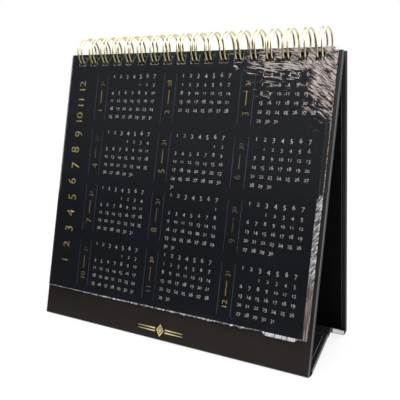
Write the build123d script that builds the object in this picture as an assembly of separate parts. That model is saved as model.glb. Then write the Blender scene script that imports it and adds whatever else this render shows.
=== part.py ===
from build123d import *
import os
from math import cos, radians, sin, sqrt
import numpy as np

# Easel desk calendar: a pad of leaves on a twin-loop wire, hung on a folding stand of wrapped boards.
# Millimetres, +Z up, X along the binding. The origin is on the table, midway between the stand's two feet.

# Stand
stand_width = 164.0
board_height = 153.0
lean_angle = 11.0
board_top_gap = 1.66
core_thickness = 2.0
wrap_thickness = 0.15
liner_thickness = 0.12
turn_in = 14.0
liner_inset = 2.2

# Folding base
base_slope = 22.8
hinge_clearance = 0.2
foot_gap = 2.0
centre_gap = 3.5

# Pad
leaf_left_inset = 1.5
leaf_right_inset = 4.0
foot_strip = 17.3
leaf_thickness = 0.11
sheet_thickness = 0.1
sheet_right_overhang = 2.4
sheet_foot_overhang = 0.4
leaf_air = 0.02
pad_seat = 0.03
month_count = 12
month_shift_x = 0.2
month_drop = 0.15

# Binding
loop_pitch = 25.4 / 3
binding_end_margin = 4.0
loop_radius = 8.1
loop_leg_spacing = 2.5
wire_diameter = 1.0
wire_sides = 6
leg_facets = 18
tip_facets = 4
spine_facets = 2
spine_bend_radius = 1.25
spine_start_angle = -30.0
tip_start_angle = -2.0
wire_below_edge = 4.85
hole_clearance = 0.35
hole_side_clearance = 0.55
hole_top_room = 1.4
hole_margin = 2.3
least_wire_gap = 0.4

panel_thickness = 2 * wrap_thickness + core_thickness + liner_thickness
crease_thickness = wrap_thickness + liner_thickness
leaf_pitch = leaf_thickness + leaf_air
leaf_edges = (-stand_width / 2 + leaf_left_inset, stand_width / 2 - leaf_right_inset)
loop_room = 2 * min(-leaf_edges[0], leaf_edges[1]) - 2 * binding_end_margin
loop_count = 1 + int(loop_room / loop_pitch)
lean = radians(lean_angle)
slope = radians(base_slope)


def section(y, z):
    """A point of the side view, in the plane x = 0."""
    return Vector(0, y, z)


# Directions in the side view: up along the front board and out of its front face.
# The boards lean together until their top edges leave the gap that they fold in.
board_up = section(sin(lean), cos(lean))
board_out = section(-cos(lean), sin(lean))
half_depth = board_height * sin(lean) + panel_thickness * cos(lean) + board_top_gap / 2
board_foot = section(-half_depth, panel_thickness * sin(lean))
front_plane = Plane(origin=board_foot, x_dir=(1, 0, 0), z_dir=board_out)

# The base half is hinged just inside the front board's lining, and its wrapped side faces down.
# The hinge is at the height that puts the base half's lower edge on the table.
base_up = section(cos(slope), sin(slope))
base_out = section(sin(slope), -cos(slope))
inner_foot = board_foot - board_out * panel_thickness
hinge_to_skin = hinge_clearance + panel_thickness
hinge_z = hinge_to_skin * cos(slope) - foot_gap * sin(slope)
hinge_height = (hinge_z + hinge_clearance * sin(lean)) / cos(lean)
base_hinge = inner_foot + board_up * hinge_height - board_out * hinge_clearance
base_skin = base_hinge + base_out * hinge_to_skin
base_start = base_skin + base_up * foot_gap
base_reach = -base_skin.Y / base_up.Y
base_length = base_reach - foot_gap - centre_gap
base_plane = Plane(origin=base_start, x_dir=(-1, 0, 0), z_dir=base_out)

# The rings' axis lies in the middle of the stand, above the boards' top edges.
axis_along = board_height - wire_below_edge + loop_radius
axis_z = board_foot.Z + (axis_along + board_foot.Y * sin(lean)) / cos(lean)
ring_axis = section(0, axis_z)
axis_depth = (ring_axis - board_foot).dot(board_out)
pad_depth = pad_seat + (month_count + 1) * leaf_pitch + sheet_thickness


def wire_band(near, far):
    """The lowest and highest lines up the front board that the wire reaches between two depths."""
    edges = []
    for depth in (near, far):
        fall = sqrt(loop_radius**2 - (depth - axis_depth)**2)
        half = wire_diameter / 2 * loop_radius / fall
        edges += [axis_along - fall - half, axis_along - fall + half]
    return min(edges), max(edges)


# One punch makes every hole: its size lets the pad's leaves ride on the wire with clearance all round.
pad_low, pad_high = wire_band(pad_seat, pad_depth)
hole_height = pad_high - pad_low + 2 * hole_clearance + hole_top_room
hole_width = loop_leg_spacing + wire_diameter + 2 * hole_side_clearance
leaf_hole_middle = pad_low - hole_clearance + hole_height / 2
board_hole_middle = sum(wire_band(-panel_thickness, 0)) / 2
leaf_top = leaf_hole_middle + hole_height / 2 + hole_margin


def hole_row(middle):
    """The row of punched holes along a line of a panel's own plane."""
    return Pos(0, middle) * GridLocations(loop_pitch, 1, loop_count, 1) * Rectangle(hole_width, hole_height)


def plate(left, right, low, high, bottom, top, holes=None):
    """A flat plate between the lines of a panel and two depths, with its holes."""
    outline = Pos((left + right) / 2, (low + high) / 2) * Rectangle(right - left, high - low)
    if holes is not None:
        outline = outline - holes
    return extrude(Plane.XY.offset(bottom) * outline, amount=top - bottom)


def wrapped_panel(length, holes=None):
    """A board, the cover paper folded round its edges and the lining that hides the turned-in edges."""
    w = wrap_thickness
    back_of_core = -w - core_thickness
    back_of_wrap = back_of_core - w

    def inset(edge, bottom, top, cut=None):
        """A plate that stays this far inside the panel's outline."""
        half = stand_width / 2 - edge
        return plate(-half, half, edge, length - edge, bottom, top, cut)

    core = inset(w, back_of_core, -w, holes)
    wrap = inset(0, back_of_wrap, 0, holes) - inset(w, back_of_core, -w)
    wrap -= inset(turn_in, back_of_wrap, back_of_core)
    liner = inset(liner_inset, -panel_thickness, back_of_wrap, holes)
    liner += inset(turn_in, back_of_wrap, back_of_core)
    return {"board": core, "wrap": wrap, "liner": liner}


def strip(*corners):
    """A strip of crease paper across the stand, from its outline in the side view."""
    outline = make_face(Polyline(*corners, close=True))
    return extrude(outline, amount=stand_width / 2, dir=(1, 0, 0), both=True)


def foot_crease():
    """The bare paper between a board's bottom edge and its base half, flat on the table."""
    board_side = board_up * (crease_thickness / board_up.Z)
    base_side = base_out * (crease_thickness / base_out.Z)
    return strip(inner_foot, base_start, base_start + base_side, inner_foot + board_side)


def centre_crease():
    """The soft end of a base half, from the board's end to the middle fold line."""
    low = base_start + base_up * base_length
    high = low - base_out * panel_thickness
    low_end = low - base_up * (low.Y / base_up.Y)
    high_end = high - base_up * (high.Y / base_up.Y)
    return strip(low, low_end, high_end, high)


def leaf(depth, thickness, shift_x=0.0, drop=0.0, right_overhang=0.0, foot_overhang=0.0):
    """One bound sheet in front of the front board, with the row of holes along its top."""
    left, right = leaf_edges
    foot = foot_strip - foot_overhang
    holes = hole_row(leaf_hole_middle)
    sheet = plate(left, right + right_overhang, foot, leaf_top, depth, depth + thickness, holes)
    return front_plane * (Pos(shift_x, -drop, 0) * sheet)


def ring_point(x, angle):
    """A point on a loop's leg, at an angle from the rear of the ring towards its top."""
    return ring_axis + Vector(x, loop_radius * cos(angle), loop_radius * sin(angle))


def bend(start, along, turn_to, radius, angle, facets):
    """Points of a circular bend that leaves start along one direction and turns towards another."""
    for n in range(1, facets + 1):
        a = radians(angle) * n / facets
        yield start + along * (radius * sin(a)) + turn_to * (radius * (1 - cos(a)))


def wire_points():
    """The twin-loop wire's centre line: each loop runs out to its tip and back, then on along the spine."""
    first = radians(spine_start_angle)
    last = radians(tip_start_angle - 360)
    leg_angles = [first + (last - first) * n / leg_facets for n in range(1, leg_facets + 1)]
    half = loop_leg_spacing / 2
    right = Vector(1, 0, 0)
    under = section(sin(first), -cos(first))
    to_tip = section(sin(last), -cos(last))
    points = []
    for n in range(loop_count):
        x = (n - (loop_count - 1) / 2) * loop_pitch
        spine_end = ring_point(x - half, first) - (right + under) * spine_bend_radius
        if n == 0:
            points.append(spine_end - right * wire_diameter)
        points.append(spine_end)
        points.extend(bend(spine_end, right, under, spine_bend_radius, 90, spine_facets))
        points.extend(ring_point(x - half, a) for a in leg_angles)
        points.extend(bend(points[-1], to_tip, right, half, 180, tip_facets))
        points.extend(ring_point(x + half, a) for a in reversed(leg_angles[:-1]))
        points.append(ring_point(x + half, first))
        points.extend(bend(points[-1], under * -1, right, spine_bend_radius, 90, spine_facets))
    points.append(points[-1] + right * wire_diameter)
    return points


def wire_self_gap(points):
    """The least gap between stretches of the wire that are not neighbours along it, on sampled points."""
    corners = np.array([tuple(p) for p in points])
    travel = np.r_[0, np.cumsum(np.linalg.norm(np.diff(corners, axis=0), axis=1))]
    along = np.arange(0, travel[-1], wire_diameter / 4)
    samples = np.stack([np.interp(along, travel, corners[:, k]) for k in range(3)], axis=1)
    next_along = 4 * wire_diameter
    least = np.inf
    for here, p in zip(along, samples):
        others = samples[along > here + next_along]
        if len(others):
            least = min(least, np.linalg.norm(others - p, axis=1).min())
    return least - wire_diameter


def binding_wire():
    """The whole binding as one unbroken wire swept along its centre line."""
    points = wire_points()
    gap = wire_self_gap(points)
    print(f"binding wire: least gap to itself {gap:.2f} mm")
    assert gap > least_wire_gap
    path = Polyline(*points)
    start = Plane(origin=path @ 0, z_dir=path % 0)
    profile = start * RegularPolygon(wire_diameter / 2, wire_sides)
    return sweep(profile, path=path, transition=Transition.RIGHT)


nodes = {}
for name, piece in wrapped_panel(board_height, hole_row(board_hole_middle)).items():
    nodes["front_" + name] = front_plane * piece
    nodes["back_" + name] = mirror(nodes["front_" + name], about=Plane.XZ)
for name, piece in wrapped_panel(base_length).items():
    nodes["base_front_" + name] = base_plane * piece
    nodes["base_rear_" + name] = mirror(nodes["base_front_" + name], about=Plane.XZ)
nodes["front_crease"] = foot_crease()
nodes["rear_crease"] = mirror(nodes["front_crease"], about=Plane.XZ)
nodes["centre_crease_front"] = centre_crease()
nodes["centre_crease_rear"] = mirror(nodes["centre_crease_front"], about=Plane.XZ)
nodes["binding_wire"] = binding_wire()

# The pad, from the front board outwards: the last month first, then the year leaf and the clear sheet.
for n in range(month_count):
    depth = pad_seat + n * leaf_pitch
    nodes[f"month_leaf_{month_count - n:02d}"] = leaf(depth, leaf_thickness, month_shift_x, month_drop)
year_depth = pad_seat + month_count * leaf_pitch
nodes["year_leaf"] = leaf(year_depth, leaf_thickness)
overhangs = {"right_overhang": sheet_right_overhang, "foot_overhang": sheet_foot_overhang}
nodes["clear_front_sheet"] = leaf(year_depth + leaf_pitch, sheet_thickness, **overhangs)

os.makedirs("parts", exist_ok=True)
for name, piece in nodes.items():
    export_step(piece, os.path.join("parts", name + ".step"))

print(f"ring axis at y {ring_axis.Y:.3f}, z {ring_axis.Z:.3f}")
print(f"base hinge at y {base_hinge.Y:.3f}, z {base_hinge.Z:.3f}, base board {base_length:.2f} long")
print(f"stand {2 * half_depth:.2f} deep, {loop_count} loops")
print(f"leaves {leaf_edges[1] - leaf_edges[0]:.2f} wide, {leaf_top - foot_strip:.2f} high")
print(f"holes {hole_width:.2f} x {hole_height:.2f}, pad {pad_depth:.2f} thick")
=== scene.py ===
# %% [markdown]
# # A desk calendar on a folding stand
# The calendar is a pad of paper leaves that hangs on a gold twin-loop wire. The wire also ties the tops of
# two wrapped boards together, and a creased base between their feet holds them apart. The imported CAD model
# already has every sheet and board at its true size, so this lesson keeps it as a frame and dresses it.

# %% Load the frame
from math import ceil, cos, pi, radians, sin

import bpy
from mathutils import Matrix, Vector, noise


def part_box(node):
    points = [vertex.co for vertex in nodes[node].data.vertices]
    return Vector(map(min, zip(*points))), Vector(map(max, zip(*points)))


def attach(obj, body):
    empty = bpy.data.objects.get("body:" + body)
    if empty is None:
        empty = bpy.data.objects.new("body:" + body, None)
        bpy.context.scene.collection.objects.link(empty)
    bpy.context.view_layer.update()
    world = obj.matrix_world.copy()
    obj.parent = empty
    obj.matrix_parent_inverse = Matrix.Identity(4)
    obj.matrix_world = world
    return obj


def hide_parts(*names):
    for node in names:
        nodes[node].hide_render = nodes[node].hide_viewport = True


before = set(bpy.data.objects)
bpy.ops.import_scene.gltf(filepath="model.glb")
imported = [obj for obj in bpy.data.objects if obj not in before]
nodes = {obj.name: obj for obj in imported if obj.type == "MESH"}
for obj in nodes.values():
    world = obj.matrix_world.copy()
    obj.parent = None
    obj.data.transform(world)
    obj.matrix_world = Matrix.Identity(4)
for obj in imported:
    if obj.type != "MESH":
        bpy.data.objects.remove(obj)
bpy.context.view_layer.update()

print("CAD nodes:", len(nodes))

# %% [markdown]
# ## Working in the leaning plane
# The boards and the pad lean back, so it is easiest to work as if the pad lay flat on the bench: x runs
# along a leaf, y runs up it and z comes out of its face. One matrix then stands a finished piece up in its
# place.

# %% Planes of the leaves and boards
MM = 0.001
lean = radians(11)
base_slope = radians(22.8)
leaf_thickness = 0.11 * MM
film_thickness = 0.1 * MM
up_the_board = Vector((0, sin(lean), cos(lean)))
out_of_board = Vector((0, -cos(lean), sin(lean)))


def set_in(*columns):
    """The matrix that sets work in its place, from three axes and that place."""
    return Matrix([[column[row] for column in columns] for row in range(3)] + [[0, 0, 0, 1]])


def leaning_plane(corner):
    """The matrix that stands flat work up on the front board, with its origin at this corner."""
    return set_in(Vector((1, 0, 0)), up_the_board, out_of_board, corner)


def leaf_face(node, thickness):
    """The plane of a sheet's front face, from the sheet's lower left corner, and the sheet's size."""
    low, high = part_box(node)
    corner = Vector((low.x, low.y, low.z + thickness * sin(lean)))
    height = (high.z - low.z - thickness * sin(lean)) / cos(lean)
    return leaning_plane(corner), Vector((high.x - low.x, height))


year_face, leaf_size = leaf_face("year_leaf", leaf_thickness)
film_face, film_size = leaf_face("clear_front_sheet", film_thickness)
print("year leaf, mm:", [round(v / MM, 2) for v in leaf_size])
print("clear film, mm:", [round(v / MM, 2) for v in film_size])

# %% [markdown]
# ## Small helpers
# Colours are written as sRGB hex values, as a colour picker shows them, and turned to linear light in one
# place. A second function adds a shader node with its settings and links, so that each finish below reads
# as a recipe. Sockets that share a name are given by number: in a Mix node 0 is the share, 2 and 3 are two
# values, 6 and 7 two colours and output 2 the mixed colour, and in a Map Range node 1 and 2 are the range
# that comes in, 3 and 4 the range that goes out.

# %% Colour and node helpers


def colour(hex_value):
    """Linear RGBA from an sRGB hex value."""
    channels = [int(hex_value[i:i + 2], 16) / 255 for i in (1, 3, 5)]
    return [c / 12.92 if c <= 0.04045 else ((c + 0.055) / 1.055) ** 2.4 for c in channels] + [1.0]


def feed(tree, node, inputs):
    """Give a node's inputs values or links."""
    for name, value in inputs.items():
        if isinstance(value, bpy.types.NodeSocket):
            tree.links.new(value, node.inputs[name])
        else:
            node.inputs[name].default_value = value


def add_node(tree, kind, inputs=None, **settings):
    """Add a shader node, set its options, and feed its inputs."""
    made = tree.nodes.new("ShaderNode" + kind)
    for name, value in settings.items():
        setattr(made, name, value)
    feed(tree, made, inputs or {})
    return made


def new_finish(name, **sockets):
    """A material with one Principled shader whose constant sockets are set."""
    finish = bpy.data.materials.new(name)
    finish.use_nodes = True
    shader = finish.node_tree.nodes["Principled BSDF"]
    for socket, value in sockets.items():
        shader.inputs[socket.replace("_", " ")].default_value = value
    return finish, finish.node_tree, shader


def spots_per_metre(size_mm):
    """A texture's scale for features of this size."""
    return 1 / (size_mm * MM)


def drifting_tone(tree, size_mm, detail, dark, light):
    """Noise with patches of one size, and a colour that drifts with it between two tones."""
    place = add_node(tree, "TexCoord").outputs["Object"]
    drift = {"Vector": place, "Scale": spots_per_metre(size_mm), "Detail": detail}
    patches = add_node(tree, "TexNoise", drift).outputs[0]
    tones = {0: patches, 6: colour(dark), 7: colour(light)}
    return patches, add_node(tree, "Mix", tones, data_type="RGBA").outputs[2]


# %% [markdown]
# ## Cover paper
# The boards are wrapped in a brown-black printed paper with a matt film laminated on it. The film gives a
# soft, broad sheen, and the board's fibres print through as a slight unevenness. Real paper grain is a few
# hundredths of a millimetre, too fine for the render, so it is drawn at half a millimetre. Folds are drawn
# paler and bluish, partly rubbed wear and partly a painted highlight, most of all on the front cover, and the
# ends of the base are painted paler as a painted highlight, the rear end most.

# %% Cover paper, folds with wear and painted highlight, ends with painted highlight
board_cloud_mm = 22
paper_grain_mm = 0.5
paper_relief = 0.02 * MM
rubbed, unrubbed = -0.05, 0.07


def cover_paper(name, dark, light, roughness):
    """Matt laminated paper whose tone drifts between two shades."""
    finish, tree, shader = new_finish(name, IOR=1.5, Specular_IOR_Level=0.08)
    cloud, tint = drifting_tone(tree, board_cloud_mm, 4.0, dark, light)
    place = add_node(tree, "TexCoord").outputs["Object"]
    fibres = {"Vector": place, "Scale": spots_per_metre(paper_grain_mm), "Detail": 3.0}
    grain = add_node(tree, "TexNoise", fibres)
    sheen = add_node(tree, "MapRange", {0: cloud, 3: roughness + rubbed, 4: roughness + unrubbed})
    relief = add_node(tree, "Bump", {"Height": grain.outputs[0], "Strength": 0.25, "Distance": paper_relief})
    surface = {"Base Color": tint, "Roughness": sheen.outputs[0], "Normal": relief.outputs[0]}
    feed(tree, shader, surface)
    return finish


wrap_finish = cover_paper("matt_laminated_cover_paper", "#1e1917", "#292321", 0.42)
# Folds are paler and bluish: partly rubbed wear and partly a painted highlight, brightest on the front cover.
fold_wear_and_highlight_finish = cover_paper("rubbed_fold_with_painted_highlight", "#232628", "#3e4245", 0.45)
front_fold_wear_and_highlight_finish = cover_paper("worn_front_fold_with_painted_highlight", "#3b4044", "#686e73", 0.4)
# The ends of the base are painted paler, the rear end most: a painted highlight where light falls on them.
painted_highlight_end_finishes = {
    "front": cover_paper("scuffed_end_of_base_front", "#5a534d", "#776f68", 0.5),
    "rear": cover_paper("scuffed_end_of_base_rear", "#9d9791", "#bcb7b1", 0.5),
}
print("cover finishes:", wrap_finish.name, fold_wear_and_highlight_finish.name, front_fold_wear_and_highlight_finish.name)

# %% [markdown]
# ## Sheets that are printed on one side
# A printed leaf is paper with ink on its face, so its cut edges, its back and the walls of its punched
# holes show another tone. The finish asks the surface which way it faces: towards one side it shows the
# ink, elsewhere the paper. A few specks of dust lie on the year leaf. The lining is black paper glued
# inside, and its pale core shows as a fine line along its cut edge, painted brighter on the base's front
# lining as a painted highlight. The same finish paints shade inside the base: its covers are black on the
# faces that look into the stand.

# %% Paper with ink on one side
tone_drift_mm = 30
paper_fibre_mm = 0.7
dust_speck_mm = 1.3
no_dust = 2.0
faces_that_way = 0.7
bare_roughness = 0.75


def printed_sheet(name, ink, paper, facing, roughness, dust="#000000", dust_from=no_dust):
    """Paper with ink, given as two tones, on the side that faces one way."""
    finish, tree, shader = new_finish(name, IOR=1.5, Specular_IOR_Level=0.12)
    where = add_node(tree, "TexCoord")
    place = where.outputs["Object"]
    fibre_scale, speck_scale = spots_per_metre(paper_fibre_mm), spots_per_metre(dust_speck_mm)
    fibre = add_node(tree, "TexNoise", {"Vector": place, "Scale": fibre_scale, "Detail": 2.0})
    speck = add_node(tree, "TexNoise", {"Vector": place, "Scale": speck_scale, "Detail": 1.0})
    inked = drifting_tone(tree, tone_drift_mm, 4.0, *ink)[1]
    lies = add_node(tree, "Math", {0: speck.outputs[0], 1: dust_from}, operation="GREATER_THAN")
    specks = {0: lies.outputs[0], 6: inked, 7: colour(dust)}
    dusty = add_node(tree, "Mix", specks, data_type="RGBA")
    side = add_node(tree, "VectorMath", {0: where.outputs["Normal"], 1: facing}, operation="DOT_PRODUCT")
    is_face = add_node(tree, "Math", {0: side.outputs["Value"], 1: faces_that_way}, operation="GREATER_THAN")
    sides = {0: is_face.outputs[0], 6: colour(paper), 7: dusty.outputs[2]}
    tint = add_node(tree, "Mix", sides, data_type="RGBA")
    sheen = add_node(tree, "MapRange", {0: is_face.outputs[0], 3: bare_roughness, 4: roughness})
    relief = add_node(tree, "Bump", {"Height": fibre.outputs[0], "Strength": 0.2, "Distance": paper_relief})
    surface = {"Base Color": tint.outputs[2], "Roughness": sheen.outputs[0], "Normal": relief.outputs[0]}
    feed(tree, shader, surface)
    return finish


# %% The dark year leaf and the month leaves
leaf_ink = ("#0c0e13", "#14161d")
dust_on_year = ("#3c4044", 0.8)
# The year leaf's pale grey edge tone, which also covers its back, is a painted highlight along the leaf's
# edge.
year_finish = printed_sheet("black_printed_cover_leaf", leaf_ink, "#8b8b8f", out_of_board, 0.4, *dust_on_year)
leaf_finish = printed_sheet("black_printed_leaf_paper", leaf_ink, "#24262e", out_of_board, 0.5)
print("sheet finishes:", year_finish.name, leaf_finish.name)

# %% Give the CAD sheets their finishes
# The lining is black on the side that looks into the stand.
inward = {
    "front_liner": -out_of_board,
    "back_liner": Vector((0, -cos(lean), -sin(lean))),
    "base_front_liner": Vector((0, -sin(base_slope), cos(base_slope))),
    "base_rear_liner": Vector((0, sin(base_slope), cos(base_slope))),
}


def dress(mesh, *finishes):
    """Put finishes on a mesh, in place of any that it has."""
    mesh.materials.clear()
    for finish in finishes:
        mesh.materials.append(finish)


lining_black_and_painted_shade = ("#020305", "#050609")
for node, facing in inward.items():
    # The base's front lining has its cut edge painted near white, brighter than the other linings: a painted
    # highlight.
    cut_edge_tone_and_highlight = "#efedea" if node == "base_front_liner" else "#9b9a9a"
    lining = printed_sheet("black_lining_paper_" + node, lining_black_and_painted_shade, cut_edge_tone_and_highlight, facing, 0.75)
    dress(nodes[node].data, lining)
# The base covers are painted black on the faces that look into the stand: painted shade, as their paper is
# brown-black elsewhere.
base_finishes_with_painted_shade = {}
for half in ("front", "rear"):
    facing = inward[f"base_{half}_liner"]
    name = "cover_paper_blacked_inside_" + half
    base_finishes_with_painted_shade[half] = printed_sheet(name, lining_black_and_painted_shade, "#2d2725", facing, 0.6)
    dress(nodes["centre_crease_" + half].data, base_finishes_with_painted_shade[half])
    dress(nodes[half + "_crease"].data, wrap_finish)
for node in nodes:
    if node.startswith("month_leaf"):
        dress(nodes[node].data, leaf_finish)
dress(nodes["year_leaf"].data, year_finish)
print("linings:", len(inward))

# %% [markdown]
# ## Greyboard
# Inside each cover is a sheet of pressed recycled fibre. It shows only in the walls of the punched holes, so
# flecks of two greys are enough.

# %% Greyboard
board_finish, tree, shader = new_finish("pressed_greyboard", IOR=1.5, Roughness=0.9)
fleck_mm = 1.2
feed(tree, shader, {"Base Color": drifting_tone(tree, fleck_mm, 6.0, "#6f675f", "#8f877e")[1]})
for node in ("front_board", "back_board", "base_front_board", "base_rear_board"):
    dress(nodes[node].data, board_finish)
print("greyboard on four boards")

# %% [markdown]
# ## Rounded covers
# Paper pulled round a board never makes a knife edge: it turns in a radius of about a third of a
# millimetre, and that small round is what catches the light along every edge. Each cover is a copy of its
# CAD shell whose triangles are merged back into flat faces, and then only the outer edges are bevelled. The
# bevel's faces get a paler finish, partly rubbed wear and partly a painted highlight, and the ends of the
# base get a paler one that is a painted highlight.

# %% Choose the outer edges of a cover
fold_radius = 0.34 * MM
fold_segments = 3
corner_weld = 0.002 * MM
box_snap = 0.01 * MM
flat_angle = radians(1)
smooth_angle = radians(40)


def edges_of_box(piece, low, high, to_local):
    """Select the edges that run along the corners of a panel's outer box, seen in the panel's own axes."""
    for edge in piece.data.edges:
        ends = [to_local @ piece.data.vertices[v].co for v in edge.vertices]
        sides = 0
        for axis in range(3):
            for limit in (low, high):
                sides += all(abs(end[axis] - limit[axis]) < box_snap for end in ends)
        edge.select = sides >= 2


# %% One cover
end_facing = 0.9


def rounded_cover(node, turned, body, finishes):
    """A copy of a wrapped cover with rounded edges, finished on its sides, its folds and any ends with a
    painted highlight.
    """
    cover = nodes[node].copy()
    cover.data = nodes[node].data.copy()
    cover.name = node.replace("_wrap", "_cover")
    for key in list(cover.keys()):
        del cover[key]
    cover.parent = None
    bpy.context.collection.objects.link(cover)
    bpy.ops.object.select_all(action="DESELECT")
    cover.select_set(True)
    bpy.context.view_layer.objects.active = cover
    bpy.ops.object.mode_set(mode="EDIT")
    bpy.ops.mesh.select_all(action="SELECT")
    bpy.ops.mesh.remove_doubles(threshold=corner_weld)
    bpy.ops.mesh.dissolve_limited(angle_limit=flat_angle)
    bpy.ops.mesh.select_all(action="DESELECT")
    bpy.ops.mesh.select_mode(type="EDGE")
    bpy.ops.object.mode_set(mode="OBJECT")
    to_local = turned.inverted()
    corners = [to_local @ v.co for v in cover.data.vertices]
    low = [min(c[axis] for c in corners) for axis in range(3)]
    high = [max(c[axis] for c in corners) for axis in range(3)]
    edges_of_box(cover, low, high, to_local)
    dress(cover.data, *finishes)
    bpy.ops.object.mode_set(mode="EDIT")
    bpy.ops.mesh.bevel(offset=fold_radius, segments=fold_segments, affect="EDGES", material=1)
    bpy.ops.object.mode_set(mode="OBJECT")
    bpy.ops.object.shade_smooth_by_angle(angle=smooth_angle)
    for vertex in cover.data.vertices:
        vertex.co.x = min(max(vertex.co.x, low[0]), high[0])
    # The base's end faces take the third finish, a painted highlight.
    if len(finishes) > 2:
        for face in cover.data.polygons:
            if abs(face.normal.x) > end_facing:
                face.material_index = 2
    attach(cover, body)
    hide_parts(node)
    print(cover.name, len(cover.data.polygons), "faces")


# %% Covers with rounded folds
rounded_cover("front_wrap", Matrix.Rotation(-lean, 4, "X"), "stand_front", (wrap_finish, front_fold_wear_and_highlight_finish))
rounded_cover("back_wrap", Matrix.Rotation(lean, 4, "X"), "stand_back", (wrap_finish, fold_wear_and_highlight_finish))
for half, slope in (("front", base_slope), ("rear", -base_slope)):
    turned = Matrix.Rotation(slope, 4, "X")
    finishes = (base_finishes_with_painted_shade[half], fold_wear_and_highlight_finish, painted_highlight_end_finishes[half])
    rounded_cover(f"base_{half}_wrap", turned, "base_" + half, finishes)

# %% [markdown]
# ## Gilt wire
# Twin-loop binding wire is steel with a coloured nylon coat. This one is pale gold: the coat makes its
# highlights a little broader than those of bare metal. It drifts between two golds where the coat is worn.

# %% Gilt wire finish
wire_finish, tree, shader = new_finish("gold_coated_steel_wire", Metallic=1.0, Roughness=0.28)
wear_mm = 1.5
feed(tree, shader, {"Base Color": drifting_tone(tree, wear_mm, 3.0, "#d9cb92", "#f4ecc6")[1]})
print("wire finish:", wire_finish.name)

# %% [markdown]
# ## The binding wire
# One wire makes the whole binding. It runs along the spine, turns into a loop's first leg, goes round the
# ring to the loop's tip, comes back along the second leg and turns into the spine again. One such stretch
# is drawn as a curve with a round section, and an Array modifier repeats it and welds the joints, so the
# wire stays unbroken.

# %% The centre line of one loop
wire_radius = 0.5 * MM
ring_radius = 8.1 * MM
leg_spacing = 2.5 * MM
loop_pitch = 25.4 / 3 * MM
loop_count = 18
spine_radius = 1.25 * MM
ring_axis_height = 153.338 * MM
spine_angle = radians(-30)
tip_angle = radians(-362)
leg_points = 40
bend_points = 5
tip_points = 8


def ring_point(x, angle):
    """A point on a loop's leg, at an angle from the rear of the ring towards its top."""
    return Vector((x, ring_radius * cos(angle), ring_axis_height + ring_radius * sin(angle)))


def bend(start, along, turn_to, radius, angle, count):
    """Points of a round bend that leaves start along one direction and turns towards another."""
    return [
        start + along * radius * sin(angle * n / count) + turn_to * radius * (1 - cos(angle * n / count))
        for n in range(1, count + 1)
    ]


def loop_route():
    """The centre line of one loop, from one half of the spine's span to the next."""
    half = leg_spacing / 2
    right = Vector((1, 0, 0))
    under = Vector((0, sin(spine_angle), -cos(spine_angle)))
    to_tip = Vector((0, sin(tip_angle), -cos(tip_angle)))
    turns = [spine_angle + (tip_angle - spine_angle) * n / leg_points for n in range(1, leg_points + 1)]
    spine_end = ring_point(-half, spine_angle) - (right + under) * spine_radius
    route = [Vector((-loop_pitch / 2, spine_end.y, spine_end.z)), spine_end]
    route += bend(spine_end, right, under, spine_radius, pi / 2, bend_points)
    route += [ring_point(-half, a) for a in turns]
    route += bend(route[-1], to_tip, right, half, pi, tip_points)
    mirrored = [Vector((-p.x, p.y, p.z)) for p in reversed(route[:-tip_points // 2 - 1])]
    return route[:len(route) - tip_points // 2] + mirrored


route = loop_route()
print("loop route:", len(route), "points")

# %% One stretch of wire
bpy.ops.object.select_all(action="DESELECT")
bpy.ops.curve.primitive_nurbs_path_add()
stretch = bpy.context.object
stretch.name = "twin_loop_wire"
stretch.data.splines.clear()
line = stretch.data.splines.new("POLY")
line.points.add(len(route) - 1)
for point, place in zip(line.points, route):
    point.co = (*place, 1)
stretch.data.bevel_depth = wire_radius
stretch.data.bevel_resolution = 3
bpy.ops.object.convert(target="MESH")
wire = bpy.context.object
print("one stretch:", len(wire.data.polygons), "faces")

# %% Repeat the stretch along the spine
stretch_weld = 0.05 * MM
wire_smooth_angle = radians(50)
first_loop = -(loop_count - 1) / 2 * loop_pitch
wire.data.transform(Matrix.Translation((first_loop, 0, 0)))
row = wire.modifiers.new("row of loops", "ARRAY")
row.count = loop_count
row.use_relative_offset = False
row.use_constant_offset = True
row.constant_offset_displace = (loop_pitch, 0, 0)
row.use_merge_vertices = True
row.merge_threshold = stretch_weld
bpy.ops.object.modifier_apply(modifier=row.name)
bpy.ops.object.mode_set(mode="EDIT")
bpy.ops.mesh.select_all(action="SELECT")
bpy.ops.mesh.normals_make_consistent(inside=False)
bpy.ops.mesh.select_all(action="DESELECT")
bpy.ops.mesh.select_non_manifold()
bpy.ops.mesh.edge_face_add()
bpy.ops.object.mode_set(mode="OBJECT")
bpy.ops.object.shade_smooth_by_angle(angle=wire_smooth_angle)
dress(wire.data, wire_finish)
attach(wire, "stand_front")
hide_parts("binding_wire")
print("wire:", len(wire.data.polygons), "faces")

# %% [markdown]
# ## Printing inks
# The white figures are screen printed and a little uneven. Gold ink holds metal powder, which shines in one
# place and is dull in the next, and the stamp on the strip is foil. Each ink drifts between two tones, over
# patches of its own size.

# %% Ink finishes
patch_low, patch_high = 0.35, 0.65


def printing_ink(name, dull, bright, patch_mm, metallic, roughness):
    """Ink whose tone drifts over patches of one size, as a thin print does."""
    ink, tree, shader = new_finish(name, IOR=1.5, Metallic=metallic, Roughness=roughness)
    place = add_node(tree, "TexCoord").outputs["Object"]
    patch = add_node(tree, "TexNoise", {"Vector": place, "Scale": spots_per_metre(patch_mm), "Detail": 3.0})
    spread = add_node(tree, "MapRange", {0: patch.outputs[0], 1: patch_low, 2: patch_high})
    tint = add_node(tree, "Mix", {0: spread.outputs[0], 6: colour(dull), 7: colour(bright)}, data_type="RGBA")
    feed(tree, shader, {"Base Color": tint.outputs[2]})
    return ink


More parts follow.
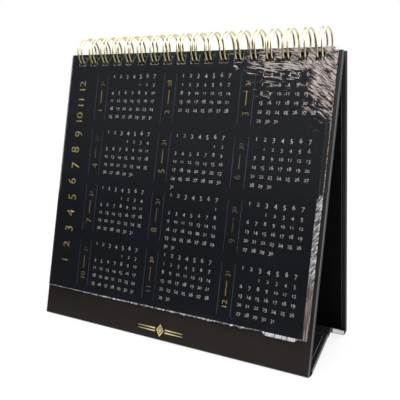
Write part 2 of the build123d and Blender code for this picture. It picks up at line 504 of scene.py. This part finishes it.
white_ink = printing_ink("white_screen_ink", "#a09e9a", "#d6d4cf", 0.8, 0.0, 0.5)
gold_ink = printing_ink("gold_printing_ink", "#36331f", "#ac9c52", 24, 0.3, 0.4)
index_ink = printing_ink("gold_title_ink", "#5e5930", "#b8a755", 40, 0.3, 0.4)
bright_gold = printing_ink("gold_foil_stamp", "#cdb97a", "#efe3ac", 6, 0.35, 0.35)
rule_ink = printing_ink("blue_grey_hairline_ink", "#2e343b", "#4a525b", 12, 0.0, 0.5)
print("inks:", white_ink.name, gold_ink.name, index_ink.name, bright_gold.name, rule_ink.name)

# %% [markdown]
# ## Old-style figures
# The small grids are set in old-style figures, whose 3, 4, 5, 7 and 9 hang below the line while 6 and 8
# stand tall. The built-in font has only tall figures, so 0, 1 and 2 are made shorter and five others are
# let down. Each figure is made once, turned to a mesh, and copied.

# %% The ten figures
small_figures = "012"
hanging_figures = "34579"
small_height = 0.74
hang_below_line = 0.26
stroke_trim = -0.01
figure_advance = 0.62
figure_meshes = {}
for figure in "0123456789":
    bpy.ops.object.select_all(action="DESELECT")
    bpy.ops.object.text_add()
    drawn = bpy.context.object
    drawn.data.body = figure
    drawn.data.resolution_u = 2
    drawn.data.align_x = "CENTER"
    drawn.data.offset = stroke_trim
    bpy.ops.object.convert(target="MESH")
    drawn = bpy.context.object
    height = max(v.co.y for v in drawn.data.vertices)
    fit = Matrix.Scale(1 / height, 4)
    if figure in small_figures:
        fit = Matrix.Scale(small_height, 4, (0, 1, 0)) @ fit
    if figure in hanging_figures:
        fit = Matrix.Translation((0, -hang_below_line, 0)) @ fit
    drawn.data.transform(fit)
    figure_meshes[figure] = drawn.data.copy()
    bpy.data.objects.remove(drawn)
print("figures:", {f: len(m.polygons) for f, m in figure_meshes.items()})

# %% [markdown]
# ## Setting type on a leaf
# A line of figures is set flat at the origin, then turned and moved to its place on the leaf. A rule is a
# narrow plane. All the marks of one print are joined into one piece, given the ink's thickness, and stood
# up on the leaf's face, a hair above it so that the two don't coincide.

# %% Type setting
ink_thickness = 0.006 * MM
ink_gap = 0.004 * MM


def set_number(number, centre, size, turn=0.0):
    """Objects for a number set flat, centred on a point of the leaf."""
    text = str(number)
    place = Matrix.Translation((*centre, 0)) @ Matrix.Rotation(turn, 4, "Z") @ Matrix.Scale(size, 4)
    made = []
    for n, figure in enumerate(text):
        shift = (n - (len(text) - 1) / 2) * figure_advance
        mesh = figure_meshes[figure].copy()
        mesh.transform(place @ Matrix.Translation((shift, -small_height / 2, 0)))
        piece = bpy.data.objects.new("figure", mesh)
        bpy.context.collection.objects.link(piece)
        made.append(piece)
    return made


def set_rule(centre, width, height, taper=1.0):
    """A flat rule centred on a point, whose right-hand end is drawn in by the taper."""
    bpy.ops.mesh.primitive_plane_add(size=1)
    rule = bpy.context.object
    for vertex in rule.data.vertices:
        end = taper if vertex.co.x > 0 else 1.0
        vertex.co = (centre[0] + vertex.co.x * width, centre[1] + vertex.co.y * height * end, 0)
    return rule


def print_on(face, marks, name, ink, body):
    """Join flat marks into one film of ink on a face."""
    bpy.ops.object.select_all(action="DESELECT")
    for piece in marks:
        piece.select_set(True)
    bpy.context.view_layer.objects.active = marks[0]
    bpy.ops.object.join()
    layer = bpy.context.object
    layer.name = name
    film = layer.modifiers.new("ink", "SOLIDIFY")
    film.thickness = ink_thickness
    film.offset = 1
    bpy.ops.object.modifier_apply(modifier=film.name)
    layer.data.transform(face @ Matrix.Translation((0, 0, ink_gap)))
    dress(layer.data, ink)
    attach(layer, body)
    return layer


# %% [markdown]
# ## The year at a glance
# Twelve small grids stand in three columns and four rows. The weekday line above each grid is set as plain
# numbers. Beside each grid, between two hairlines, stand the month's number and its count of days in gold,
# with a fine rule between them. Down the left of the leaf run the numbers 1 to 12 in a larger size.

# %% Twelve grids of day numbers
grid_left = 32.8 * MM
grid_pitch_x = 45.83 * MM
grid_top = 123.9 * MM
grid_pitch_y = 31.8 * MM
day_pitch = 4.57 * MM
week_pitch = 4.5 * MM
first_week_drop = 4.8 * MM
day_size = 1.9 * MM
header_size = 2.3 * MM
grid_columns = 3
days_in_week = 7
month_lengths = (31, 28, 31, 30, 31, 30, 31, 31, 30, 31, 30, 31)
first_weekday = 4


def weeks_of_year():
    """For each month, its days with the weekday and the week in which each one falls."""
    start = first_weekday
    for length in month_lengths:
        squares = range(start, start + length)
        yield [(n - start + 1, n % days_in_week, n // days_in_week) for n in squares]
        start = (start + length) % days_in_week


def grid_place(month):
    """The spot of a month's first weekday number on the year leaf."""
    row, column = divmod(month, grid_columns)
    return grid_left + column * grid_pitch_x, grid_top - row * grid_pitch_y


for month, days in enumerate(weeks_of_year()):
    left, top = grid_place(month)
    marks = []
    for weekday in range(days_in_week):
        marks += set_number(weekday + 1, (left + weekday * day_pitch, top), header_size)
    for day, weekday, week in days:
        spot = (left + weekday * day_pitch, top - first_week_drop - week * week_pitch)
        marks += set_number(day, spot, day_size)
    grid = print_on(year_face, marks, f"year_grid_{month + 1:02d}", white_ink, "year")
print("last grid:", len(grid.data.polygons), "faces")

# %% Gold labels, hairlines and the index down the left
label_offset = 8.0 * MM
label_size = 3.7 * MM
label_drop = 19.5 * MM
label_rule = (0.42 * MM, 7.5 * MM)
label_rule_drop = 11.5 * MM
count_size = 2.7 * MM
count_drop = 4 * MM
hairline = (0.22 * MM, 26 * MM)
hairline_offset = 3.8 * MM
hairline_drop = 12 * MM
index_left = 10.2 * MM
index_bottom = 16 * MM
index_top = 118 * MM
index_size = 5.6 * MM
quarter_turn = pi / 2

labels, hairlines, index = [], [], []
last_month = len(month_lengths) - 1
for month, length in enumerate(month_lengths):
    left, top = grid_place(month)
    middle = left - label_offset
    labels += set_number(month + 1, (middle, top - label_drop), label_size, quarter_turn)
    labels.append(set_rule((middle, top - label_rule_drop), *label_rule))
    labels += set_number(length, (middle, top - count_drop), count_size, quarter_turn)
    for side in (-1, 1):
        hairlines.append(set_rule((middle + side * hairline_offset, top - hairline_drop), *hairline))
    height = index_bottom + (index_top - index_bottom) * month / last_month
    index += set_number(month + 1, (index_left, height), index_size, quarter_turn)
print("label marks:", len(labels), "hairlines:", len(hairlines))
print_on(year_face, labels, "month_labels", gold_ink, "year")
print_on(year_face, hairlines, "label_hairlines", rule_ink, "year")
print_on(year_face, index, "year_index", index_ink, "year")

# %% [markdown]
# ## Month leaves
# Each leaf behind the year carries one month in large plain figures, so that a turned pad shows a page that
# can be used. The inks are thinner than the air between two leaves.

# %% Twelve pages of days
page_left = 22 * MM
page_top = 104 * MM
page_day_pitch = 19 * MM
page_week_pitch = 16.5 * MM
page_day_size = 6.5 * MM
heading_size = 13 * MM
heading_height = 123 * MM
heading_rule = (112 * MM, 0.6 * MM)
heading_rule_shift = 68 * MM
heading_rule_height = 119 * MM
for month, days in enumerate(weeks_of_year()):
    node = f"month_leaf_{month + 1:02d}"
    body = f"month_{month + 1:02d}"
    face = leaf_face(node, leaf_thickness)[0]
    marks = []
    for day, weekday, week in days:
        spot = (page_left + weekday * page_day_pitch, page_top - week * page_week_pitch)
        marks += set_number(day, spot, page_day_size)
    print_on(face, marks, f"month_days_{month + 1:02d}", white_ink, body)
    heading = set_number(month + 1, (page_left, heading_height), heading_size)
    heading.append(set_rule((page_left + heading_rule_shift, heading_rule_height), *heading_rule))
    print_on(face, heading, f"month_heading_{month + 1:02d}", gold_ink, body)
print("month pages:", len(month_lengths))

# %% [markdown]
# ## A stamped ornament
# Below the pad the front board shows a strip of cover paper with a small gold stamp. A plain lozenge
# between tapering rules is the printer's usual ornament for such a place. A circle with four corners is a
# lozenge already: one is hollowed to a frame, and a smaller one is set inside it.

# %% Lozenge and tapering rules on the strip
stamp_middle = (-1.0 * MM, 5.2 * MM)
lozenge_size = (4.6 * MM, 6.8 * MM)
lozenge_corners = 4
frame_width = 0.13
heart_size = 0.42
stamp_rule = (11 * MM, 0.75 * MM)
stamp_rule_shift = 8.6 * MM
stamp_rule_rise = 0.75 * MM
stamp_rule_taper = 0.2
board_depth = 2.42 * MM
board_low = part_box("front_wrap")[0]
strip_face = leaning_plane(Vector((0, board_low.y, board_low.z + board_depth * sin(lean))))
bpy.ops.mesh.primitive_circle_add(vertices=lozenge_corners, radius=0.5, fill_type="NGON")
stamp = [bpy.context.object]
bpy.ops.object.mode_set(mode="EDIT")
bpy.ops.mesh.select_all(action="SELECT")
bpy.ops.mesh.inset(thickness=frame_width, depth=0)
bpy.ops.mesh.delete(type="FACE")
bpy.ops.object.mode_set(mode="OBJECT")
bpy.ops.mesh.primitive_circle_add(vertices=lozenge_corners, radius=0.5 * heart_size, fill_type="NGON")
stamp.append(bpy.context.object)
for piece in stamp:
    piece.data.transform(Matrix.Diagonal((*lozenge_size, 1, 1)))
    piece.data.transform(Matrix.Translation((*stamp_middle, 0)))
for turn in (pi, 0):
    for rise in (-stamp_rule_rise, stamp_rule_rise):
        rule = set_rule((stamp_rule_shift, rise), *stamp_rule, stamp_rule_taper)
        rule.data.transform(Matrix.Rotation(turn, 4, "Z"))
        rule.data.transform(Matrix.Translation((*stamp_middle, 0)))
        stamp.append(rule)
ornament = print_on(strip_face, stamp, "strip_ornament", bright_gold, "stand_front")
print("ornament:", len(ornament.data.polygons), "faces")

# %% [markdown]
# ## Clear film
# The front of the pad is covered by a thin clear film. Where it lies flat it is nearly invisible: it
# mirrors about a twenty-fifth of the light straight on, and more at a slant. In the top right corner fine
# creases run down from the binding, and a streaky pinkish-grey sheen is mixed in over them: a painted
# reflection of a lamp in the creases. Two attributes that are
# stored on the sheet further down guide it: where a spot lies on the flat sheet, so that the streaks follow
# the sheet, and how much it is creased.

# %% The mirror of a clear film
mirrored_straight_on = 0.04
slant_power = 5.0


def let_through(tree, shader, share):
    """Show the shader by its share, and let the rest of the light pass straight through."""
    clear = add_node(tree, "BsdfTransparent")
    mixed = add_node(tree, "MixShader", {0: share, 1: clear.outputs[0], 2: shader.outputs[0]})
    feed(tree, tree.nodes["Material Output"], {"Surface": mixed.outputs[0]})


film_finish, tree, shader = new_finish("clear_polypropylene_film")
flat_place = add_node(tree, "Attribute", attribute_name="flat_place").outputs["Vector"]
crease = add_node(tree, "Attribute", attribute_name="crease").outputs["Fac"]
facing = add_node(tree, "LayerWeight", {"Blend": 0.5}).outputs["Facing"]
steep = add_node(tree, "Math", {0: facing, 1: slant_power}, operation="POWER")
rise = {0: steep.outputs[0], 1: 1 - mirrored_straight_on, 2: mirrored_straight_on}
glance = add_node(tree, "Math", rise, operation="MULTIPLY_ADD")
print("mirrored straight on:", mirrored_straight_on)

# %% Painted sheen in streaks along the creases
fold_mm = 1.0
fold_runs = ((-10, 6), (-34, 5))
side_folds_from, side_folds_to = 138 * MM, 152 * MM
folds_sharpen = 0.22
painted_sheen_from, painted_sheen_full, painted_sheen_most = 0.655, 0.84, 0.7
crease_full = 0.12
fold_patterns = []
fold_scale = spots_per_metre(fold_mm)
for slope, length in fold_runs:
    turned = {"Vector": flat_place, "Rotation": (0, 0, radians(slope)), "Scale": (length, 1, 1)}
    sloping = add_node(tree, "Mapping", turned, vector_type="TEXTURE")
    drawn = {"Vector": sloping.outputs[0], "Scale": fold_scale, "Detail": 4.0, "Distortion": 0.7}
    fold_patterns.append(add_node(tree, "TexNoise", drawn).outputs[0])
spot = add_node(tree, "SeparateXYZ", {0: flat_place})
to_side = add_node(tree, "MapRange", {0: spot.outputs["X"], 1: side_folds_from, 2: side_folds_to})
folds = add_node(tree, "Mix", {0: to_side.outputs[0], 2: fold_patterns[0], 3: fold_patterns[1]})
# The streaks set where the painted sheen lies thick; it reaches only as far as the film is creased.
sharpen = {0: crease, 1: folds_sharpen, 2: folds.outputs[0]}
sharpest = add_node(tree, "Math", sharpen, operation="MULTIPLY_ADD")
faces = add_node(tree, "MapRange", {0: sharpest.outputs[0], 1: painted_sheen_from, 2: painted_sheen_full, 3: 0.0, 4: painted_sheen_most})
reach = add_node(tree, "MapRange", {0: crease, 1: 0.0, 2: crease_full})
painted_sheen = add_node(tree, "Math", {0: reach.outputs[0], 1: faces.outputs[0]}, operation="MULTIPLY")
print("streak patterns:", len(fold_patterns))

# %% Clear film
painted_sheen_hides_mirror = 0.06
sheen_roughness, mirror_roughness = 0.4, 0.08
# Where the painted sheen lies, the film's mirror gives way to a rough pinkish-grey tone, a painted reflection
# of a lamp.
share = add_node(tree, "Math", {0: glance.outputs[0], 1: painted_sheen.outputs[0]}, operation="ADD", use_clamp=True)
mirror = add_node(tree, "MapRange", {0: painted_sheen.outputs[0], 1: 0.0, 2: painted_sheen_hides_mirror, 3: 1.0, 4: 0.0})
sheen = add_node(tree, "MapRange", {0: mirror.outputs[0], 3: sheen_roughness, 4: mirror_roughness})
tones = {0: mirror.outputs[0], 6: colour("#c3b4af"), 7: colour("#eef0f4")}
tint = add_node(tree, "Mix", tones, data_type="RGBA")
surface = {"Base Color": tint.outputs[2], "Metallic": mirror.outputs[0], "Roughness": sheen.outputs[0]}
feed(tree, shader, surface)
let_through(tree, shader, share.outputs[0])
print("film finish:", film_finish.name)

# %% [markdown]
# ## Creased film
# Along the lower right-hand edge, where the film stands out past the leaves, it is crumpled all over, as are
# the tab and the frill at its foot. Cutting and punching bruise its edges and the rims of the holes. These
# faces get a finish of their own: whitish hatching with clear gaps, and rosy strands at the foot of the
# strip. How dense it is comes from a third attribute on the sheet, which also lays a painted highlight along
# the film's right edge.

# %% Creased film
rosy_below, rosy_fades_by = 24 * MM, 30 * MM
rosy_from, rosy_full = 157.5 * MM, 158 * MM
hatch_slope, hatch_length, hatch_mm = radians(-38), 5, 0.7
strand_length, strand_mm = 14, 0.9
hatch_from, hatch_full = 0.42, 0.62
thinnest, densest = 0.06, 0.7
crumple_relief = 0.2 * MM
creased_finish, tree, shader = new_finish("creased_polypropylene_film", IOR=1.49, Roughness=0.3)
flat_place = add_node(tree, "Attribute", attribute_name="flat_place").outputs["Vector"]
scatter = add_node(tree, "Attribute", attribute_name="scatter").outputs["Fac"]
spot = add_node(tree, "SeparateXYZ", {0: flat_place})
low_down = add_node(tree, "MapRange", {0: spot.outputs["Y"], 1: rosy_below, 2: rosy_fades_by, 3: 1.0, 4: 0.0})
far_right = add_node(tree, "MapRange", {0: spot.outputs["X"], 1: rosy_from, 2: rosy_full})
rosy = add_node(tree, "Math", {0: low_down.outputs[0], 1: far_right.outputs[0]}, operation="MULTIPLY")
tones = {0: rosy.outputs[0], 6: colour("#c4c4c6"), 7: colour("#a29290")}
tint = add_node(tree, "Mix", tones, data_type="RGBA")
slant = {"Vector": flat_place, "Rotation": (0, 0, hatch_slope), "Scale": (1, hatch_length, 1)}
slanting = add_node(tree, "Mapping", slant, vector_type="TEXTURE")
drawn = {"Vector": slanting.outputs[0], "Scale": spots_per_metre(hatch_mm), "Detail": 4.0}
hatch = add_node(tree, "TexNoise", drawn)
upright = {"Vector": flat_place, "Scale": (1, strand_length, 1)}
steep = add_node(tree, "Mapping", upright, vector_type="TEXTURE")
drawn = {"Vector": steep.outputs[0], "Scale": spots_per_metre(strand_mm), "Detail": 3.0}
strands = add_node(tree, "TexNoise", drawn)
pattern = add_node(tree, "Mix", {0: rosy.outputs[0], 2: hatch.outputs[0], 3: strands.outputs[0]})
gaps = {0: pattern.outputs[0], 1: hatch_from, 2: hatch_full, 3: thinnest, 4: densest}
cover = add_node(tree, "MapRange", gaps)
share = add_node(tree, "Math", {0: cover.outputs[0], 1: scatter}, operation="MULTIPLY", use_clamp=True)
relief = add_node(tree, "Bump", {"Height": pattern.outputs[0], "Strength": 0.6, "Distance": crumple_relief})
feed(tree, shader, {"Base Color": tint.outputs[2], "Normal": relief.outputs[0]})
let_through(tree, shader, share.outputs[0])
print("film finish:", creased_finish.name)

# %% [markdown]
# ## The crinkled sheet
# The sheet starts as a plane grid whose lines are moved so that the edges of the punched holes fall on
# them. The grid is finer at the top and the right, where the creases are. Then the holes are cut out, each
# point is lifted by its creases, and the sheet is given a thickness. A crease in film is not a wave: it has
# a long face and a short steep one.

# %% Lines of the sheet's grid
hole_size = Vector((4.6, 4.113)) * MM
hole_top_margin = 2.3 * MM
rim = 0.3 * MM
foot_overhang = 0.4 * MM
plain_share = 0.6
guide_share = 0.8
wide_column, narrow_column = 2 * MM, 0.5 * MM
wide_row, narrow_row = 1.1 * MM, 0.6 * MM
film_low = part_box("clear_front_sheet")[0]
hole_top = film_size.y - hole_top_margin
hole_foot = hole_top - hole_size.y
holes_left = first_loop - film_low.x
leaf_right = leaf_size.x


def filled(lines, step_at):
    """The given lines with more between them, so that no gap is wider than the step wanted there."""
    lines = sorted(lines)
    result = [lines[0]]
    for low, high in zip(lines, lines[1:]):
        count = max(1, ceil((high - low) / step_at((low + high) / 2)))
        result += [low + (high - low) * n / count for n in range(1, count + 1)]
    return result


plain_width, plain_height = film_size.x * plain_share, film_size.y * plain_share
columns = [0, plain_width, film_size.x * guide_share, leaf_right, film_size.x - rim, film_size.x]
for loop in range(loop_count):
    centre = holes_left + loop * loop_pitch
    for side in (-1, 1):
        columns += [centre + side * hole_size.x / 2, centre + side * (hole_size.x / 2 + rim)]
rows = [0, foot_overhang, plain_height, hole_foot - rim, hole_foot, hole_top, film_size.y]
columns = filled(columns, lambda x: wide_column if x < plain_width else narrow_column)
rows = filled(rows, lambda y: wide_row if y < plain_height else narrow_row)
bpy.ops.object.select_all(action="DESELECT")
bpy.ops.mesh.primitive_grid_add(x_subdivisions=len(columns) - 1, y_subdivisions=len(rows) - 1, size=1)
film = bpy.context.object
film.name = "clear_film"
for vertex in film.data.vertices:
    column = round((vertex.co.x + 0.5) * (len(columns) - 1))
    row = round((vertex.co.y + 0.5) * (len(rows) - 1))
    vertex.co = (columns[column], rows[row], 0)
print("film grid:", len(columns), "by", len(rows))

# %% Punch the holes and mark the creased faces
strip_top = 67 * MM
strip_inset = 0.5 * MM
ragged_depth = 5 * MM
ragged_across, ragged_along, ragged_seed = 900, 150, 2.0


def hole_distance(x, y):
    """How far a point of the sheet lies outside the nearest hole, negative inside it."""
    loop = min(max(round((x - holes_left) / loop_pitch), 0), loop_count - 1)
    across = abs(x - holes_left - loop * loop_pitch) - hole_size.x / 2
    along = max(hole_foot - y, y - hole_top)
    return max(across, along)


dress(film.data, film_finish, creased_finish)
bpy.ops.object.mode_set(mode="EDIT")
bpy.ops.mesh.select_mode(type="FACE")
bpy.ops.mesh.select_all(action="DESELECT")
bpy.ops.object.mode_set(mode="OBJECT")
for face in film.data.polygons:
    x, y, _ = face.center
    away = hole_distance(x, y)
    face.select = away < 0
    on_rim = away < rim and y < hole_top
    on_edge = x > film_size.x - rim or y < foot_overhang
    ragged = ragged_depth * noise.noise(Vector((x * ragged_across, y * ragged_along, ragged_seed)))
    on_strip = x > leaf_right - strip_inset and y < strip_top + ragged
    face.material_index = int(on_rim or on_edge or on_strip)
bpy.ops.object.mode_set(mode="EDIT")
bpy.ops.mesh.delete(type="FACE")
bpy.ops.object.mode_set(mode="OBJECT")
print("creased faces:", sum(face.material_index for face in film.data.polygons))

# %% The form of a crease
long_face, short_face = 0.8, 0.2
wander_most = 1.6
small_wander, small_pitch, small_seed = 0.6, 2.7, 5


def smooth_step(low, high, value):
    """A soft step from 0 at low to 1 at high."""
    t = min(max((value - low) / (high - low), 0), 1)
    return t * t * (3 - 2 * t)


def unevenness(x, y, across, along, seed):
    """A smooth random value whose patches have this size in millimetres."""
    return noise.noise(Vector((x / across, y / along, seed)))


def creases(x, y, angle, spacing, length, seed):
    """A row of creases along one direction: each is a long face that leans up and a short steep one."""
    u = x * cos(angle) + y * sin(angle)
    v = y * cos(angle) - x * sin(angle)
    wander = noise.noise(Vector((u / length, v / length, seed)))
    closer = Vector((u / length * small_pitch, v / length * small_pitch, seed + small_seed))
    wander += small_wander * noise.noise(closer)
    turn = (v / spacing + wander_most * wander) % 1.0
    return 1 - turn / long_face if turn < long_face else (turn - long_face) / short_face


# %% Where the film crinkles, and by how much
# Each pair says, in millimetres across or up the sheet, where a crinkle starts and where it is full.
top_band_x, top_band_y = (100, 130), (122, 128)
side_band_x, side_band_y = (142, 153), (94, 118)
faint_x, faint_y, faint_most = (108, 132), (108, 124), 0.45
strip_x, strip_y = (157.5, 158.7), (72, 64)
turn_x, turn_y = (125, 155), (133, 108)
tab_left, tab_right = (137.5, 140), (156.5, 154)
frill_left, frill_right = (14, 40), (137, 128)
foot_y, foot_ends = (0.5, 0.0), 0.5
bright_edge_x = (159.8, 160.4)
# Slopes are in degrees, the fine creases' turn in radians, and lifts and drops in millimetres.
drift_most = 3
top_slope, side_turn = -14, -24
broad_lift, fine_lift, strip_lift, least_lift = 0.09, 0.04, 0.3, 0.03
tab_drop, frill_drop = 1.5, 0.7
tab_scatter, frill_scatter, least_scatter = 5.0, 1.6, 0.6
strip_light, edge_gain = 0.7, 0.3
fine_turn = 0.2
print("creases start, mm:", top_band_x[0], "strip:", strip_x[0])

# %% Crinkle the sheet
crease = film.data.attributes.new("crease", "FLOAT", "POINT")
scatter = film.data.attributes.new("scatter", "FLOAT", "POINT")
flat_place = film.data.attributes.new("flat_place", "FLOAT_VECTOR", "POINT")
for n, vertex in enumerate(film.data.vertices):
    x, y = vertex.co.x / MM, vertex.co.y / MM
    flat_place.data[n].vector = vertex.co
    drift = drift_most * unevenness(x, y, across=9, along=5, seed=3.0)
    top_band = smooth_step(*top_band_x, x + drift) * smooth_step(*top_band_y, y + drift)
    side_band = smooth_step(*side_band_x, x + drift) * smooth_step(*side_band_y, y + drift)
    faint = faint_most * smooth_step(*faint_x, x) * smooth_step(*faint_y, y)
    patches = 1 + 0.5 * unevenness(x, y, across=5, along=5, seed=6.0)
    corner = max(top_band, side_band, faint) * patches
    strip = smooth_step(*strip_x, x) * smooth_step(*strip_y, y)
    slope = radians(top_slope + side_turn * smooth_step(*turn_x, x) * smooth_step(*turn_y, y))
    broad = creases(x, y, slope, spacing=3.4, length=9, seed=0.0)
    fine = creases(x, y, slope - fine_turn, spacing=1.9, length=5, seed=20.0)
    knots = unevenness(x, y, across=1.3, along=2.2, seed=9.0)
    at_foot = smooth_step(*foot_y, y)
    tab = smooth_step(*tab_left, x) * smooth_step(*tab_right, x)
    waves = 0.5 + 0.8 * unevenness(x, 0, across=2.5, along=1, seed=14.0)
    frill = smooth_step(*frill_left, x) * smooth_step(*frill_right, x) * waves
    # corner sets both how far the film is lifted into creases and where the painted sheen lies over them.
    crease.data[n].value = corner
    # Along the film's right edge the scatter is raised: a painted highlight on that edge.
    edge_light = strip_light + edge_gain * smooth_step(*bright_edge_x, x)
    foot_light = (tab_scatter * tab + frill_scatter * frill) * (y < foot_ends)
    scatter.data[n].value = max(strip * edge_light, foot_light, least_scatter)
    lift = corner * (broad_lift * broad + fine_lift * fine) + strip * (strip_lift + strip_lift * knots)
    vertex.co.y -= (tab_drop * tab + frill_drop * max(frill, 0)) * at_foot * MM
    vertex.co.z = (least_lift + max(lift, 0)) * MM
print("most creased:", round(max(value.value for value in crease.data), 2))

# %% Give the film its thickness and its place
crumpled_thickness = 0.04 * MM
thin = film.modifiers.new("film", "SOLIDIFY")
thin.thickness = crumpled_thickness
thin.offset = 0
bpy.ops.object.modifier_apply(modifier=thin.name)
bpy.ops.object.shade_smooth()
film.data.transform(film_face @ Matrix.Translation((0, 0, -film_thickness)))
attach(film, "clear_sheet")
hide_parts("clear_front_sheet")
print("film:", len(film.data.polygons), "faces")

# %% [markdown]
# ## Studio
# The calendar was photographed from the right and a little above, on white. The floor and the background
# are white to the camera. Dark glossy paper shows whatever stands in front of it, so a photographer hangs a
# black flag there to keep it black: here the floor and the world are dark in reflections on that side, and
# white in the others. Soft lamps hang in front, behind and to the right.

# %% Camera
camera_place = Vector((159.5, -273.6, 127.5)) * MM
yaw, pitch, roll = radians(29.46), radians(-9.99), radians(0.65)
focal_pixels = 575.1
frame_pixels = 400
sensor_mm = 36
near_limit = 0.01
ahead = Vector((-sin(yaw) * cos(pitch), cos(yaw) * cos(pitch), sin(pitch)))
level = Vector((cos(yaw), sin(yaw), 0))
over = level.cross(ahead)
right = level * cos(roll) + over * sin(roll)
top = over * cos(roll) - level * sin(roll)
camera = bpy.data.objects.new("camera", bpy.data.cameras.new("camera"))
bpy.context.collection.objects.link(camera)
camera.matrix_world = set_in(right, top, -ahead, camera_place)
camera.data.sensor_width = sensor_mm
camera.data.lens = focal_pixels / frame_pixels * sensor_mm
camera.data.clip_start = near_limit
bpy.context.scene.camera = camera
print("camera lens, mm:", round(camera.data.lens, 1))

# %% White floor
flag_side = Vector((-0.5, -0.86, 0.1)).normalized()
floor_width, floor_drop = 12, 0.0002
flag_from, flag_full = 0.02, 0.1
shade_reach, shade_ends, shade_tone = 0.15, 0.4, 0.86


def seen_or_mirrored(tree):
    """Two sockets: one where the camera looks, and one where a reflection does, or a view through film."""
    path = add_node(tree, "LightPath")
    rays = {0: path.outputs["Is Glossy Ray"], 1: path.outputs["Is Transmission Ray"]}
    mirrored = add_node(tree, "Math", rays, operation="MAXIMUM")
    return path.outputs["Is Camera Ray"], mirrored.outputs[0]


bpy.ops.object.select_all(action="DESELECT")
bpy.ops.mesh.primitive_plane_add(size=floor_width, location=(0, 0, -floor_drop))
floor = bpy.context.object
floor.name = "floor"
floor_finish, tree, shader = new_finish("white_table", Roughness=0.8, Base_Color=colour("#f2f2f2"))
glow = add_node(tree, "Emission")
seen, mirrored = seen_or_mirrored(tree)
place = add_node(tree, "TexCoord").outputs["Object"]
ahead_of_it = add_node(tree, "VectorMath", {0: place, 1: flag_side}, operation="DOT_PRODUCT")
flagged = add_node(tree, "MapRange", {0: ahead_of_it.outputs["Value"], 1: flag_from, 2: flag_full})
dark = add_node(tree, "Math", {0: mirrored, 1: flagged.outputs[0]}, operation="MULTIPLY")
flag = add_node(tree, "BsdfDiffuse", {"Color": colour("#3c3c3e")})
table = add_node(tree, "MixShader", {0: dark.outputs[0], 1: shader.outputs[0], 2: flag.outputs[0]})
lit = add_node(tree, "Math", {0: mirrored, 1: dark.outputs[0]}, operation="SUBTRACT")
shows = add_node(tree, "Math", {0: seen, 1: lit.outputs[0]}, operation="MAXIMUM")
away = add_node(tree, "VectorMath", {0: place}, operation="LENGTH")
reach = {0: away.outputs["Value"], 1: shade_reach, 2: shade_ends, 3: shade_tone, 4: 1.0}
even = add_node(tree, "MapRange", reach)
share = add_node(tree, "Math", {0: shows.outputs[0], 1: even.outputs[0]}, operation="MULTIPLY")
mixed = add_node(tree, "MixShader", {0: share.outputs[0], 1: table.outputs[0], 2: glow.outputs[0]})
feed(tree, tree.nodes["Material Output"], {"Surface": mixed.outputs[0]})
dress(floor.data, floor_finish)
print("floor, m:", floor_width)

# %% Background with a dark flag
flag_edge, flag_whole = 0.45, 0.75
flag_low, flag_high = 0.12, 0.26
flag_dark, flag_light = 0.045, 0.15
fill_light, mirrored_light = 0.35, 0.9
world = bpy.data.worlds.new("studio")
bpy.context.scene.world = world
world.use_nodes = True
tree = world.node_tree
backdrop = tree.nodes["Background"]
seen, mirrored = seen_or_mirrored(tree)
direction = add_node(tree, "TexCoord").outputs["Generated"]
towards_flag = add_node(tree, "VectorMath", {0: direction, 1: flag_side}, operation="DOT_PRODUCT")
height = add_node(tree, "SeparateXYZ", {0: direction}).outputs["Z"]
flag_tone = add_node(tree, "MapRange", {0: height, 1: flag_low, 2: flag_high, 3: flag_dark, 4: flag_light})
edge = {0: towards_flag.outputs["Value"], 1: flag_edge, 2: flag_whole, 3: 1.0, 4: flag_tone.outputs[0]}
open_side = add_node(tree, "MapRange", edge)
fill = add_node(tree, "MapRange", {0: mirrored, 3: fill_light, 4: mirrored_light})
dimmed = add_node(tree, "Math", {0: open_side.outputs[0], 1: fill.outputs[0]}, operation="MULTIPLY")
strength = add_node(tree, "Math", {0: dimmed.outputs[0], 1: seen}, operation="MAXIMUM")
feed(tree, backdrop, {"Strength": strength.outputs[0], "Color": colour("#ffffff")})
print("world nodes:", len(tree.nodes))

# %% Lamps
aim = Vector((0, 0, 0.08))
lamps = (
    ("key", (0.08, -0.60, 0.98), (1.2, 0.8), 13),
    ("top", (0.0, 0.25, 1.1), (0.8, 0.8), 6),
    ("right", (0.9, -0.1, 0.4), (0.5, 0.5), 4),
)
for name, place, size, power in lamps:
    data = bpy.data.lights.new(name, "AREA")
    data.shape = "RECTANGLE"
    data.size, data.size_y = size
    data.energy = power
    lamp = bpy.data.objects.new(name, data)
    bpy.context.collection.objects.link(lamp)
    lamp.location = place
    lamp.rotation_euler = (aim - lamp.location).to_track_quat("-Z", "Y").to_euler()
    print("lamp:", name, power, "W")
bpy.context.scene.view_settings.view_transform = "Standard"
